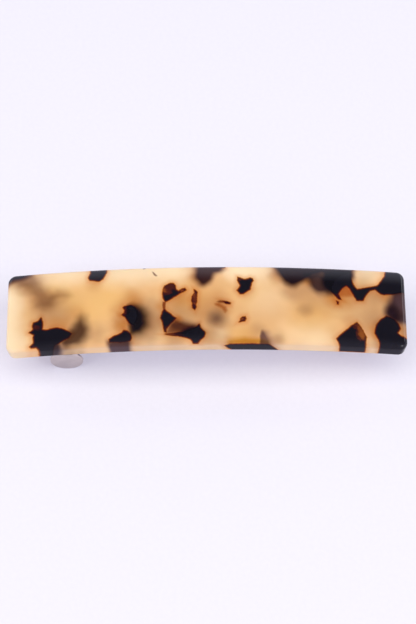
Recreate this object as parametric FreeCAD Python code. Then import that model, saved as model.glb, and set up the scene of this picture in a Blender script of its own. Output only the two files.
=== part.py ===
import FreeCAD, Part
import math
import os

from FreeCAD import Vector

# An arched hair barrette: an acetate plate pinned to a sprung metal clip that closes under it.
#
# Millimetres. +X runs along the barrette from the clasp end to the hinge end, +Y to the rear,
# +Z up. The origin is under its middle, on the surface that it stands on.

# Plate: a bar of acetate bent to a circular arc
PLATE_LENGTH = 100.0
PLATE_WIDTH = 22.0
PLATE_THICKNESS = 4.0
PLATE_RISE = 4.0
PLATE_CORNER = 2.1
FRONT_ROUNDING = 1.1
BACK_ROUNDING = 0.5
BACK_HEIGHT = 13.0

# Strips of the clip
CLIP_WIDTH = 9.0
BAR_THICKNESS = 0.7
BAR_CLASP_END_X = -41.0
BAR_HINGE_END_X = 39.8
BAR_END_CORNER = 3.6
ARM_THICKNESS = 0.7
ARM_ARC_RADIUS = 246.0
ARM_TIP_BEYOND_CLASP = 5.4
ARM_TIP_CORNER = 3.0
SPRING_THICKNESS = 0.4
SPRING_WIDTH = 5.5
SPRING_ARC_RADIUS = 195.0
SPRING_END_X = -27.0
SPRING_ABOVE_ARM = 0.3
SPRING_END_CORNER = 2.0

# Hinge
PIN_X = 36.0
PIN_Z = 2.4
PIN_RADIUS = 0.75
PIN_HEAD_RADIUS = 1.3
PIN_HEAD_HEIGHT = 0.55
PIN_RUNNING_CLEARANCE = 0.05
PIN_RIVETED_CLEARANCE = 0.01
EAR_THICKNESS = 0.7
EAR_TOP_HALF_LENGTH = 3.5
KNUCKLE_SIDE_GAP = 0.15
SPRING_KNUCKLE_WIDTH = 3.6
NARROWED_FROM_PIN = 3.0
NOTCH_CLEARANCE = 0.4
KNUCKLE_TURN = math.radians(290)

# Clasp, a sheet spring with two squeeze tabs
CLASP_X = -35.93
CLASP_SHEET = 0.5
CLASP_ROOT_LENGTH = 9.2
CLASP_ROOT_WIDTH = 3.8
CLASP_ROOT_CORNER = 1.0
CLASP_UNDER_BAR = 0.04
LEG_UNDER_BAR = 0.12
LEG_ROOT_GAP = 0.05
LEG_LENGTH = 6.4
TAB_RADIUS = 4.1
TAB_FACE_Y = 8.8
BEND_INSIDE_RADIUS = 0.3
TONGUE_WIDTH = 4.0
TONGUE_OUTSIDE_Y = 2.95
TONGUE_TIP = 1.1
BARB_REACH = 0.6
BARB_FLAT = 0.15
CATCH_CLEARANCE = 0.15
ARM_AT_CLASP = 6.7
WINDOW_LENGTH = 5.0
SLOT_DEPTH = 3.2

# Fastenings
FIXING_X = 25.0
FIXING_RADIUS = 0.8
FIXING_DEPTH = 2.2
FIXING_HEAD_RADIUS = 1.6
FIXING_HEAD_HEIGHT = 0.45
FIXING_CLEARANCE = 0.02
STITCH_HOLE_X = 30.0
STITCH_HOLE_RADIUS = 1.0
RIVET_RADIUS = 0.95
RIVET_BORE = 0.5
RIVET_FLANGE_RADIUS = 1.5
RIVET_FLANGE_HEIGHT = 0.3
RIVET_SINK_RADIUS = 1.4
RIVET_CLEARANCE = 0.05
RIVET_SPREAD = BAR_THICKNESS / 2 - RIVET_CLEARANCE
HEAD_ROUNDING = 0.7  # of a head's or flange's height

# A cutter's length that is more than any strip's thickness
THROUGH = 3.0
# How closely an edge lies where it is looked for
TOLERANCE = 1e-3

ACROSS = Vector(0, 1, 0)
ALONG = Vector(1, 0, 0)
UP = Vector(0, 0, 1)

back_radius = ((PLATE_LENGTH / 2) ** 2 + PLATE_RISE**2) / (2 * PLATE_RISE)
front_radius = back_radius + PLATE_THICKNESS
bar_inner_radius = back_radius - BAR_THICKNESS
arch_centre = Vector(0, 0, BACK_HEIGHT - back_radius)
pin_centre = Vector(PIN_X, 0, PIN_Z)
eye_radius = PIN_RADIUS + PIN_RUNNING_CLEARANCE


def on_arc(centre, radius, angle):
    """The point of a circle in the XZ plane at an angle from +Z towards +X."""
    return centre + Vector(radius * math.sin(angle), 0, radius * math.cos(angle))


def angle_of(centre, point):
    """The angle of a point about a centre, from +Z towards +X."""
    return math.atan2(point.x - centre.x, point.z - centre.z)


def angle_at_x(centre, radius, x):
    """The angle at which a circle's upper half passes x."""
    return math.asin((x - centre.x) / radius)


def circle_centre(first, first_distance, second, second_distance):
    """The lower of the two points at given distances from two points of the XZ plane."""
    apart = (second - first).Length
    along = (first_distance**2 - second_distance**2 + apart**2) / (2 * apart)
    aside = math.sqrt(first_distance**2 - along**2)
    direction = (second - first) / apart
    middle = first + direction * along
    either = [middle + Vector(side * direction.z, 0, -side * direction.x) for side in (aside, -aside)]
    return min(either, key=lambda point: point.z)


def polygon(points):
    """A flat face with straight sides."""
    return Part.Face(Part.makePolygon(points + points[:1]))


def bent_strip(centre, middle_radius, thickness, start, end, width):
    """A strip bent to an arc about a Y axis, with radial ends, centred on y = 0."""
    outer, inner = middle_radius + thickness / 2, middle_radius - thickness / 2
    halfway = (start + end) / 2
    edges = [
        Part.Arc(*(on_arc(centre, outer, a) for a in (start, halfway, end))).toShape(),
        Part.LineSegment(on_arc(centre, outer, end), on_arc(centre, inner, end)).toShape(),
        Part.Arc(*(on_arc(centre, inner, a) for a in (end, halfway, start))).toShape(),
        Part.LineSegment(on_arc(centre, inner, start), on_arc(centre, outer, start)).toShape(),
    ]
    face = Part.Face(Part.Wire(edges))
    face.translate(ACROSS * (-width / 2))
    return face.extrude(ACROSS * width)


def block(x_range, y_range, z_range):
    """A box from three pairs of limits."""
    low = Vector(x_range[0], y_range[0], z_range[0])
    size = [high - start for start, high in (x_range, y_range, z_range)]
    return Part.makeBox(*size, low)


def both_sides(solid):
    """A solid and its mirror image across the XZ plane."""
    return [solid, solid.mirror(Vector(0, 0, 0), ACROSS)]


def edges_at_radius(solid, radius):
    """The edges that lie on the arch's cylinder of a given radius."""
    def lies_on(edge):
        first, last = edge.ParameterRange
        points = [edge.valueAt(first + (last - first) * part / 4) for part in range(5)]
        return all(
            abs(math.hypot(p.x - arch_centre.x, p.z - arch_centre.z) - radius) < TOLERANCE
            for p in points
        )
    return [edge for edge in solid.Edges if lies_on(edge)]


def corner_edges(solid, half_width, x_range):
    """The short straight edges through a strip's thickness at its sides, between two x limits."""
    def is_corner(edge):
        ends = [vertex.Point for vertex in edge.Vertexes]
        return (
            len(ends) == 2
            and edge.Curve.TypeId == "Part::GeomLine"
            and all(
                abs(abs(p.y) - half_width) < TOLERANCE and x_range[0] < p.x < x_range[1] for p in ends
            )
            and abs(ends[0].y - ends[1].y) < TOLERANCE
        )
    return [edge for edge in solid.Edges if is_corner(edge)]


def arch_frame(x):
    """The placement of a local frame under the base bar: +X along the bar, +Z out through it."""
    angle = angle_at_x(arch_centre, bar_inner_radius, x)
    turn = FreeCAD.Rotation(ACROSS, math.degrees(angle))
    return FreeCAD.Placement(on_arc(arch_centre, bar_inner_radius, angle), turn)


def placed(solid, placement):
    """A copy of a solid built in a local frame, set where the frame stands."""
    return solid.transformed(placement.toMatrix())


def through_hole(radius):
    """A cutter on the local Z axis that goes through any strip at the local origin."""
    return Part.makeCylinder(radius, THROUGH, UP * (-THROUGH / 2))


clasp_frame = arch_frame(CLASP_X)
fixing_frames = [arch_frame(side * FIXING_X) for side in (-1, 1)]


def plate():
    end = math.asin(PLATE_LENGTH / 2 / front_radius)
    middle = (back_radius + front_radius) / 2
    solid = bent_strip(arch_centre, middle, PLATE_THICKNESS, -end, end, PLATE_WIDTH)
    solid = solid.makeFillet(
        PLATE_CORNER, corner_edges(solid, PLATE_WIDTH / 2, (-PLATE_LENGTH, PLATE_LENGTH))
    )
    solid = solid.makeFillet(FRONT_ROUNDING, edges_at_radius(solid, front_radius))
    solid = solid.makeFillet(BACK_ROUNDING, edges_at_radius(solid, back_radius))
    hole = Part.makeCylinder(
        FIXING_RADIUS + FIXING_CLEARANCE, BAR_THICKNESS + FIXING_DEPTH + FIXING_CLEARANCE
    )
    for frame in fixing_frames:
        solid = solid.cut(placed(hole, frame))
    return solid


def ear():
    """The flange at one side of the base bar that carries the hinge pin."""
    tip_radius = PIN_Z
    top_z = BACK_HEIGHT
    corner = Vector(PIN_X + EAR_TOP_HALF_LENGTH, 0, top_z)
    reach = (corner - pin_centre).Length
    tangent = angle_of(pin_centre, corner) + math.acos(tip_radius / reach)
    touch = on_arc(pin_centre, tip_radius, tangent)
    outline = [corner, touch, Vector(2 * PIN_X - touch.x, 0, touch.z), Vector(2 * PIN_X - corner.x, 0, top_z)]
    flank = polygon(outline).extrude(ACROSS * EAR_THICKNESS)
    tip = Part.makeCylinder(tip_radius, EAR_THICKNESS, pin_centre, ACROSS)
    under_plate = Part.makeCylinder(back_radius, EAR_THICKNESS, arch_centre, ACROSS)
    solid = flank.fuse(tip).common(under_plate)
    solid.translate(ACROSS * (CLIP_WIDTH / 2 - EAR_THICKNESS))
    return solid


def base_bar():
    middle = (back_radius + bar_inner_radius) / 2
    start = angle_at_x(arch_centre, middle, BAR_CLASP_END_X)
    end = angle_at_x(arch_centre, middle, BAR_HINGE_END_X)
    solid = bent_strip(arch_centre, middle, BAR_THICKNESS, start, end, CLIP_WIDTH)
    solid = solid.makeFillet(BAR_END_CORNER, corner_edges(solid, CLIP_WIDTH / 2, (-PLATE_LENGTH, 0)))
    solid = solid.fuse(both_sides(ear()))
    pin_hole = Part.makeCylinder(
        PIN_RADIUS + PIN_RIVETED_CLEARANCE, CLIP_WIDTH, pin_centre - ACROSS * (CLIP_WIDTH / 2), ACROSS
    )
    fixing_hole = through_hole(FIXING_RADIUS + FIXING_CLEARANCE)
    stitch_hole = through_hole(STITCH_HOLE_RADIUS)
    holes = [pin_hole]
    holes += [placed(fixing_hole, frame) for frame in fixing_frames]
    holes += [placed(stitch_hole, arch_frame(side * STITCH_HOLE_X)) for side in (-1, 1)]
    holes.append(placed(rivet_space(), clasp_frame))
    return solid.cut(holes).removeSplitter()


def fixing_pins():
    """Two headed pins that run through the base bar into the plate's back."""
    head = Part.makeCylinder(FIXING_HEAD_RADIUS, FIXING_HEAD_HEIGHT, UP * -FIXING_HEAD_HEIGHT)
    head = head.makeFillet(
        FIXING_HEAD_HEIGHT * HEAD_ROUNDING,
        [edge for edge in head.Edges if edge.BoundBox.ZMax < -FIXING_HEAD_HEIGHT / 2],
    )
    head.translate(UP * -FIXING_CLEARANCE)
    shank = Part.makeCylinder(
        FIXING_RADIUS, BAR_THICKNESS + FIXING_DEPTH + FIXING_CLEARANCE, UP * -FIXING_CLEARANCE
    )
    pin = head.fuse(shank).removeSplitter()
    return Part.makeCompound([placed(pin, frame).Solids[0] for frame in fixing_frames])


def hinge_pin():
    """A plain shank with a rounded rivet head outside each ear."""
    half = CLIP_WIDTH / 2 + PIN_RIVETED_CLEARANCE
    shank = Part.makeCylinder(PIN_RADIUS, 2 * half, pin_centre - ACROSS * half, ACROSS)
    head = Part.makeCylinder(PIN_HEAD_RADIUS, PIN_HEAD_HEIGHT, pin_centre + ACROSS * half, ACROSS)
    rim = [edge for edge in head.Edges if edge.BoundBox.YMin > half + PIN_HEAD_HEIGHT / 2]
    head = head.makeFillet(PIN_HEAD_HEIGHT * HEAD_ROUNDING, rim)
    return shank.fuse(both_sides(head)).removeSplitter()


def knuckle(centre, thickness, start, end, y_range):
    """A rolled eye about the hinge pin, open where the strip leaves it."""
    width = y_range[1] - y_range[0]
    solid = bent_strip(centre, eye_radius + thickness / 2, thickness, start, end, width)
    solid.translate(ACROSS * (sum(y_range) / 2))
    return solid


arm_eye = eye_radius + ARM_THICKNESS / 2
arm_at_clasp = clasp_frame.multVec(UP * -ARM_AT_CLASP)
arm_centre = circle_centre(pin_centre, ARM_ARC_RADIUS + arm_eye, arm_at_clasp, ARM_ARC_RADIUS)
arm_tangent = angle_of(arm_centre, pin_centre)


def closing_arm():
    tip = angle_of(arm_centre, arm_at_clasp) - ARM_TIP_BEYOND_CLASP / ARM_ARC_RADIUS
    half = CLIP_WIDTH / 2
    solid = bent_strip(arm_centre, ARM_ARC_RADIUS, ARM_THICKNESS, tip, arm_tangent, CLIP_WIDTH)
    solid = solid.makeFillet(ARM_TIP_CORNER, corner_edges(solid, half, (-PLATE_LENGTH, 0)))
    inside_ears = half - EAR_THICKNESS - KNUCKLE_SIDE_GAP
    beside_spring = SPRING_KNUCKLE_WIDTH / 2 + KNUCKLE_SIDE_GAP
    narrowed = (PIN_X - NARROWED_FROM_PIN, PIN_X + NARROWED_FROM_PIN)
    heights = (-PIN_Z, 2 * PIN_Z)
    solid = solid.cut(both_sides(block(narrowed, (inside_ears, half + THROUGH), heights)))
    notch_start = PIN_X - eye_radius - ARM_THICKNESS - NOTCH_CLEARANCE
    solid = solid.cut(block((notch_start, narrowed[1]), (-beside_spring, beside_spring), heights))
    start = arm_tangent + math.pi - KNUCKLE_TURN
    rolled = knuckle(
        pin_centre, ARM_THICKNESS, start, arm_tangent + math.pi, (beside_spring, inside_ears)
    )
    solid = solid.fuse(both_sides(rolled)).removeSplitter()
    window_half_width = TONGUE_OUTSIDE_Y + CATCH_CLEARANCE
    window = block(
        (-WINDOW_LENGTH / 2, WINDOW_LENGTH / 2),
        (-window_half_width, window_half_width),
        (-ARM_AT_CLASP - THROUGH / 2, -ARM_AT_CLASP + THROUGH / 2),
    )
    return solid.cut(placed(window, clasp_frame))


def tension_bar():
    """A bowed leaf spring that pivots on the hinge pin and lies on the closing arm."""
    rise = ARM_THICKNESS / 2 + SPRING_ABOVE_ARM + SPRING_THICKNESS / 2
    above_arm = ARM_ARC_RADIUS + rise
    free_end = on_arc(arm_centre, above_arm, angle_at_x(arm_centre, above_arm, SPRING_END_X))
    eye = eye_radius + SPRING_THICKNESS / 2
    centre = circle_centre(pin_centre, SPRING_ARC_RADIUS - eye, free_end, SPRING_ARC_RADIUS)
    tangent = angle_of(centre, pin_centre)
    start = angle_of(centre, free_end)
    solid = bent_strip(centre, SPRING_ARC_RADIUS, SPRING_THICKNESS, start, tangent, SPRING_WIDTH)
    solid = solid.makeFillet(SPRING_END_CORNER, corner_edges(solid, SPRING_WIDTH / 2, (-PLATE_LENGTH, 0)))
    knuckle_half = SPRING_KNUCKLE_WIDTH / 2
    beside = block(
        (PIN_X - NARROWED_FROM_PIN, PIN_X + NARROWED_FROM_PIN),
        (knuckle_half, SPRING_WIDTH),
        (0, BACK_HEIGHT),
    )
    solid = solid.cut(both_sides(beside))
    rolled = knuckle(
        pin_centre, SPRING_THICKNESS, tangent, tangent + KNUCKLE_TURN, (-knuckle_half, knuckle_half)
    )
    return solid.fuse(rolled).removeSplitter()


def rivet_space():
    """What the clasp's rivet takes out of the base bar, in the clasp's frame."""
    radius = RIVET_RADIUS + RIVET_CLEARANCE
    sink_radius = RIVET_SINK_RADIUS + RIVET_CLEARANCE
    shank = Part.makeCylinder(radius, BAR_THICKNESS, UP * (-BAR_THICKNESS / 2))
    sink = Part.makeCone(radius, sink_radius, RIVET_SPREAD, UP * (BAR_THICKNESS / 2))
    mouth = Part.makeCylinder(sink_radius, BAR_THICKNESS, UP * (BAR_THICKNESS / 2 + RIVET_SPREAD))
    return shank.fuse([sink, mouth])


def clasp_root():
    """The flat middle of the clasp, riveted under the base bar."""
    half_length, half_width = CLASP_ROOT_LENGTH / 2, CLASP_ROOT_WIDTH / 2
    solid = block(
        (-half_length, half_length),
        (-half_width, half_width),
        (-CLASP_UNDER_BAR - CLASP_SHEET, -CLASP_UNDER_BAR),
    )
    upright = [e for e in solid.Edges if abs(e.tangentAt(e.FirstParameter).z) > 1 - TOLERANCE]
    solid = solid.makeFillet(CLASP_ROOT_CORNER, upright)
    return placed(solid.cut(through_hole(RIVET_RADIUS + RIVET_CLEARANCE)), clasp_frame)


def clasp_rivet():
    """A hollow rivet: flanged under the clasp, spread into a countersink in the base bar."""
    flange_top = -CLASP_UNDER_BAR - CLASP_SHEET - FIXING_CLEARANCE
    flange = Part.makeCylinder(
        RIVET_FLANGE_RADIUS, RIVET_FLANGE_HEIGHT, UP * (flange_top - RIVET_FLANGE_HEIGHT)
    )
    lower_rim = [edge for edge in flange.Edges if edge.BoundBox.ZMax < flange_top - RIVET_FLANGE_HEIGHT / 2]
    flange = flange.makeFillet(RIVET_FLANGE_HEIGHT * HEAD_ROUNDING, lower_rim)
    shank = Part.makeCylinder(RIVET_RADIUS, BAR_THICKNESS / 2 - flange_top, UP * flange_top)
    spread = Part.makeCone(RIVET_RADIUS, RIVET_SINK_RADIUS, RIVET_SPREAD, UP * (BAR_THICKNESS / 2))
    hollow = shank.fuse([flange, spread]).cut(through_hole(RIVET_BORE)).removeSplitter()
    return placed(hollow, clasp_frame)


leg_axis_y = CLASP_ROOT_WIDTH / 2 + LEG_ROOT_GAP + CLASP_SHEET / 2
leg_axis_z = -LEG_UNDER_BAR - CLASP_SHEET / 2


def leg_sheet():
    """The leg's bent sheet: out under the base bar, then down as the squeeze tab."""
    top, bottom = -LEG_UNDER_BAR, -LEG_UNDER_BAR - CLASP_SHEET
    outside, inside = TAB_FACE_Y, TAB_FACE_Y - CLASP_SHEET
    bend = BEND_INSIDE_RADIUS
    outer_bend = bend + CLASP_SHEET
    centre = Vector(0, inside - bend, bottom - bend)
    diagonal = Vector(0, math.sqrt(0.5), math.sqrt(0.5))
    low = tab_centre_z - TAB_RADIUS
    points = [
        Vector(0, leg_axis_y, top),
        Vector(0, centre.y, top),
        Vector(0, outside, centre.z),
        Vector(0, outside, low),
        Vector(0, inside, low),
        Vector(0, inside, centre.z),
        Vector(0, centre.y, bottom),
        Vector(0, leg_axis_y, bottom),
    ]
    edges = [
        Part.LineSegment(points[0], points[1]).toShape(),
        Part.Arc(points[1], centre + diagonal * outer_bend, points[2]).toShape(),
        Part.LineSegment(points[2], points[3]).toShape(),
        Part.LineSegment(points[3], points[4]).toShape(),
        Part.LineSegment(points[4], points[5]).toShape(),
        Part.Arc(points[5], centre + diagonal * bend, points[6]).toShape(),
        Part.LineSegment(points[6], points[7]).toShape(),
        Part.LineSegment(points[7], points[0]).toShape(),
    ]
    face = Part.Face(Part.Wire(edges))
    face.translate(ALONG * -TAB_RADIUS)
    return face.extrude(ALONG * 2 * TAB_RADIUS)


def tongue():
    """The catch: a tongue down through the arm's window, with a barb under the window's rail."""
    inside, outside = TONGUE_OUTSIDE_Y - CLASP_SHEET, TONGUE_OUTSIDE_Y
    barb_top = -ARM_AT_CLASP - ARM_THICKNESS / 2 - CATCH_CLEARANCE
    barb = outside + BARB_REACH
    outline = [
        Vector(0, inside, leg_axis_z),
        Vector(0, inside, barb_top - TONGUE_TIP),
        Vector(0, outside - CLASP_SHEET / 2, barb_top - TONGUE_TIP),
        Vector(0, barb, barb_top - BARB_FLAT),
        Vector(0, barb, barb_top),
        Vector(0, outside, barb_top),
        Vector(0, outside, leg_axis_z),
    ]
    face = polygon(outline)
    face.translate(ALONG * (-TONGUE_WIDTH / 2))
    return face.extrude(ALONG * TONGUE_WIDTH)


# The tabs' lowest points stand on z = 0.
clasp_lean = angle_at_x(arch_centre, bar_inner_radius, CLASP_X)
tab_centre_z = (TAB_RADIUS - clasp_frame.Base.z) / math.cos(clasp_lean)


def clasp_leg(side):
    """One sprung leg of the clasp; side is -1 at the front and 1 at the rear."""
    half = LEG_LENGTH / 2
    limit = TAB_FACE_Y + THROUGH
    disc = Part.makeCylinder(TAB_RADIUS, limit, Vector(0, 0, tab_centre_z), ACROSS)
    neck = block((-half, half), (0, limit), (tab_centre_z, 0))
    sheet = leg_sheet().common(disc.fuse(neck))
    slot = block((-TONGUE_WIDTH / 2, TONGUE_WIDTH / 2), (TONGUE_OUTSIDE_Y, limit), (-SLOT_DEPTH, 0))
    edge = Part.makeCylinder(
        CLASP_SHEET / 2, LEG_LENGTH, Vector(-half, leg_axis_y, leg_axis_z), ALONG
    )
    solid = sheet.cut(slot).fuse([edge, tongue()]).removeSplitter()
    if side < 0:
        solid = solid.mirror(Vector(0, 0, 0), ACROSS)
    return placed(solid, clasp_frame)


NODES = {
    "plate": plate,
    "base_bar": base_bar,
    "fixing_pins": fixing_pins,
    "hinge_pin": hinge_pin,
    "closing_arm": closing_arm,
    "tension_bar": tension_bar,
    "clasp_root": clasp_root,
    "clasp_rivet": clasp_rivet,
    "clasp_leg_front": lambda: clasp_leg(-1),
    "clasp_leg_rear": lambda: clasp_leg(1),
}

os.makedirs("parts", exist_ok=True)
for name, build in NODES.items():
    shape = build()
    shape.exportStep(f"parts/{name}.step")
    box = shape.BoundBox
    print(
        f"{name}: {len(shape.Solids)} solids, {shape.Volume:.2f} mm3, valid {shape.isValid()},"
        f" x {box.XMin:.2f}..{box.XMax:.2f}, y {box.YMin:.2f}..{box.YMax:.2f},"
        f" z {box.ZMin:.2f}..{box.ZMax:.2f}"
    )

leg_pivots = [clasp_frame.multVec(Vector(0, side * leg_axis_y, leg_axis_z)) for side in (-1, 1)]
print("hinge pin axis passes", pin_centre)
print("leg axes pass", leg_pivots, "along", clasp_frame.Rotation.multVec(ALONG))
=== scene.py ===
"""Looks of the arched acetate barrette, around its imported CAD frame. Metres, +Z up, +X to the hinge."""
import math
from types import SimpleNamespace

import bmesh
import bpy
from mathutils import Matrix, Vector

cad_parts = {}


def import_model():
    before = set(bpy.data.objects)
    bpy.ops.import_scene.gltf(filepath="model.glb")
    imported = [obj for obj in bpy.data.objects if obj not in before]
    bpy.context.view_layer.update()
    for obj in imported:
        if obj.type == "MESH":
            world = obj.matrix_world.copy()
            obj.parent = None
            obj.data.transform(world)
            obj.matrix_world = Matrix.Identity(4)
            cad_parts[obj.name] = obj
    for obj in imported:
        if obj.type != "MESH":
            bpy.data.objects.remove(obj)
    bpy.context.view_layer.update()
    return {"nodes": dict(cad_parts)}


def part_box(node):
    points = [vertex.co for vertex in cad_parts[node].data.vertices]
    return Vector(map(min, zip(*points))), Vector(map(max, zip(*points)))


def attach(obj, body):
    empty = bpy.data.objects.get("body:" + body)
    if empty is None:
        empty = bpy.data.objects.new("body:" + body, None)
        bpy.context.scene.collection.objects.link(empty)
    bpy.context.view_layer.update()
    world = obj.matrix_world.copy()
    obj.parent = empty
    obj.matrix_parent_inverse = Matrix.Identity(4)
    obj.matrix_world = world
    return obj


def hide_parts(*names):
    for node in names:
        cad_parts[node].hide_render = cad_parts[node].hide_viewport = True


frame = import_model()

MM = 0.001

# The plate. Its back is an arc about a line along Y, and its front the same arc a thickness further out
PLATE_THICKNESS = 4.0 * MM
PLATE_HALF_LENGTH = 50.0 * MM
PLATE_HALF_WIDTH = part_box("plate")[1].y
PLATE_CORNER = 2.1 * MM
FRONT_ROUNDING = 1.1 * MM
BACK_ROUNDING = 0.5 * MM
BACK_RADIUS = 314.5 * MM
BACK_TOP_Z = 13.0 * MM
FRONT_RADIUS = BACK_RADIUS + PLATE_THICKNESS
ARCH_CENTRE_Z = BACK_TOP_Z - BACK_RADIUS

# The plate's mesh: steps along its outline and its rounded edges, how far in from the edge its inner
# rings lie, how far up its wall the others lie as shares of the thickness, and which points are one
CORNER_STEPS = 8
LENGTH_STEPS = 80
WIDTH_STEPS = 14
ROUNDING_STEPS = 9
RING_INSETS = (PLATE_HALF_WIDTH, 8.0 * MM, 5.0 * MM, 2.8 * MM, 1.7 * MM)
WALL_SHARES = (0.3, 0.5)
SAME_POINT = 0.001 * MM

# The clip's metals: tone in 0-255 display values, roughness, strength of the grain, and bevel's width
METALS = {
    "nickel_plate": {"tone": (205, 196, 194), "roughness": 0.30, "grain": 1.0, "bevel": 0.10 * MM,
                     "nodes": ("base_bar", "closing_arm")},
    "nickel_spring": {"tone": (198, 187, 185), "roughness": 0.34, "grain": 0.6, "bevel": 0.08 * MM,
                      "nodes": ("tension_bar", "clasp_root", "clasp_leg_front", "clasp_leg_rear")},
    "nickel_rivet": {"tone": (212, 206, 202), "roughness": 0.24, "grain": 0.2, "bevel": 0.05 * MM,
                     "nodes": ("fixing_pins", "hinge_pin", "clasp_rivet")},
}
BEVEL_FROM = math.radians(40)
BEVEL_SEGMENTS = 2
WELD_REACH = 0.002 * MM

# How the metals vary: their lightest stains and darkest pits as shares of the tone, how strongly the
# pits and the grain darken them, how much roughness both add, and the stretch that draws the grain out
STAIN_TONE = 1.10
PIT_TONE = 0.80
PIT_SHARE = 0.5
PIT_ROUGHNESS = 0.10
GRAIN_SHARE = 0.25
GRAIN_ROUGHNESS = 0.16
GRAIN_STRETCH = (0.35, 6.0, 6.0)

# Camera: a long lens that looks down at the front of the barrette. CAMERA_LENS is its focal length in mm
CAMERA_TARGET = Vector((0.39 * MM, -0.67 * MM, 14.0 * MM))
CAMERA_ELEVATION = math.radians(60.85)
CAMERA_ROLL = math.radians(-0.548)
CAMERA_DISTANCE = 0.6
CAMERA_LENS = 138.8
CAMERA_CLIP = (0.01, 20.0)

# Floor: its side in metres, its two tones in 0-255 display values, how opaque it is round the barrette,
# and how far out, in mm, it begins to fade and is gone
FLOOR_SIZE = 6.0
FLOOR_TONES = ((240, 237, 244), (246, 243, 250))
FLOOR_COVER = 0.65
FLOOR_FADES_FROM = 350.0
FLOOR_GONE_BY = 1000.0

# The room: its strength, and its colours by how far up one looks, from below the horizon to the ceiling
ROOM_COLOURS = ((0.36, (0.785, 0.77, 0.98, 1)), (0.62, (0.05, 0.055, 0.08, 1)))
ROOM_STRENGTH = 1.05

# Soft lights, with places and sizes in metres and power in watts
LIGHTS = (
    {"name": "top_softbox", "place": (0.0, -0.02, 0.75), "size": (1.3, 0.40), "power": 4.6,
     "colour": (1.0, 0.985, 0.87), "shine": False},
    {"name": "left_softbox", "place": (-0.6, -0.35, 0.62), "size": (0.36, 0.36), "power": 1.8,
     "colour": (1.0, 0.985, 0.97)},
    {"name": "right_softbox", "place": (0.6, -0.35, 0.62), "size": (0.36, 0.36), "power": 2.3,
     "colour": (0.97, 0.98, 1.0)},
    {"name": "left_strip", "place": (-0.62, 0.5, 0.58), "size": (0.22, 0.22), "power": 0.5},
    {"name": "right_strip", "place": (0.62, 0.5, 0.58), "size": (0.22, 0.22), "power": 0.5},
)

# Tones of the acetate and of the light painted on it, in 0-255 display values, and how strongly the lesser
# ones show, from 0 to 1
HONEY_MEAN = (240, 190, 130)
HONEY_DULL = (219, 169, 115)
HONEY_BRIGHT = (231, 184, 130)
STREAK, STREAK_SHARE = (212, 160, 111), 0.3
# a painted glow, lighter low on the long sides, as of light coming in through the side walls
SIDE_GLOW, SIDE_GLOW_SHARE = (255, 226, 184), 0.5
AMBER_HALO, HALO_SHARE = (232, 166, 92), 0.5
# painted reflection of the bright room by the far and the near long edge
FAR_REFLECTION, FAR_REFLECTION_SHARE = (235, 235, 255), 0.052
NEAR_REFLECTION, NEAR_REFLECTION_SHARE = (215, 210, 235), 0.012
BLACKEST, BLACKEST_SHARE = (22, 20, 28), 0.6

# What the honey turns to with depth in mm into a black flake. The depth is counted from RIM_OUTSIDE
# outside the outline, and is at most 1, or up to THINNING less in a thin spot
BLACK_DEPTHS = ((0.13, (222, 152, 76)), (0.26, (150, 84, 32)), (0.42, (80, 38, 16)), (0.70, (26, 24, 35)))
RIM_OUTSIDE = 0.3
THINNING = 0.72

# Flakes in the front edge end this far towards the back, in mm
EDGE_FLAKES_END_Y = -10.2

# How far the corners of the flakes' shapes are rounded, in mm
CRISP_ROUNDING = 0.2
DEEP_ROUNDING = 0.8
FLOOR_ROUNDING = 0.3
EDGE_END_ROUNDING = 0.4

# A spot is gone at this many of its radii, haze shifts a deep flake's outline by up to about half this
# share of its blur, and where a deep flake is crisp it has this blur, in mm
SPOT_REACH = 1.4
HAZE_SHARE = 0.6
CRISP_BLUR = 0.2

# How far clouds draw the amber halo of the black flakes in, in mm, and the stretch that draws out the
# honey's streaks
HALO_DRIFT = 0.8
STREAK_STRETCH = (0.4, 1.0, 1.0)

# The acetate's polish: roughness by the height of the finest scratches, the stretch that draws them
# out, what the satin long sides add to the roughness, and how strongly faces and sides reflect
POLISH = ((0.3, 0.06), (0.75, 0.11))
SCRATCH_STRETCH = (1.0, 9.0, 9.0)
SATIN = 0.16
FACE_SHINE = 0.34
SIDE_SHINE = 0.06


def linear(red, green, blue):
    """A linear colour from 0-255 display values."""
    def one(value):
        value /= 255
        return value / 12.92 if value <= 0.04045 else ((value + 0.055) / 1.055) ** 2.4
    return (one(red), one(green), one(blue), 1.0)


def over_honey(tone):
    """What a flake must let through, as a linear colour, to look a tone of 0-255 on the honey sheet."""
    through = [min(1.0, flake / sheet) for flake, sheet in zip(linear(*tone), linear(*HONEY_MEAN))]
    return tuple(through[:3]) + (1.0,)


# ---------------------------------------------------------------- node helpers

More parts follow.
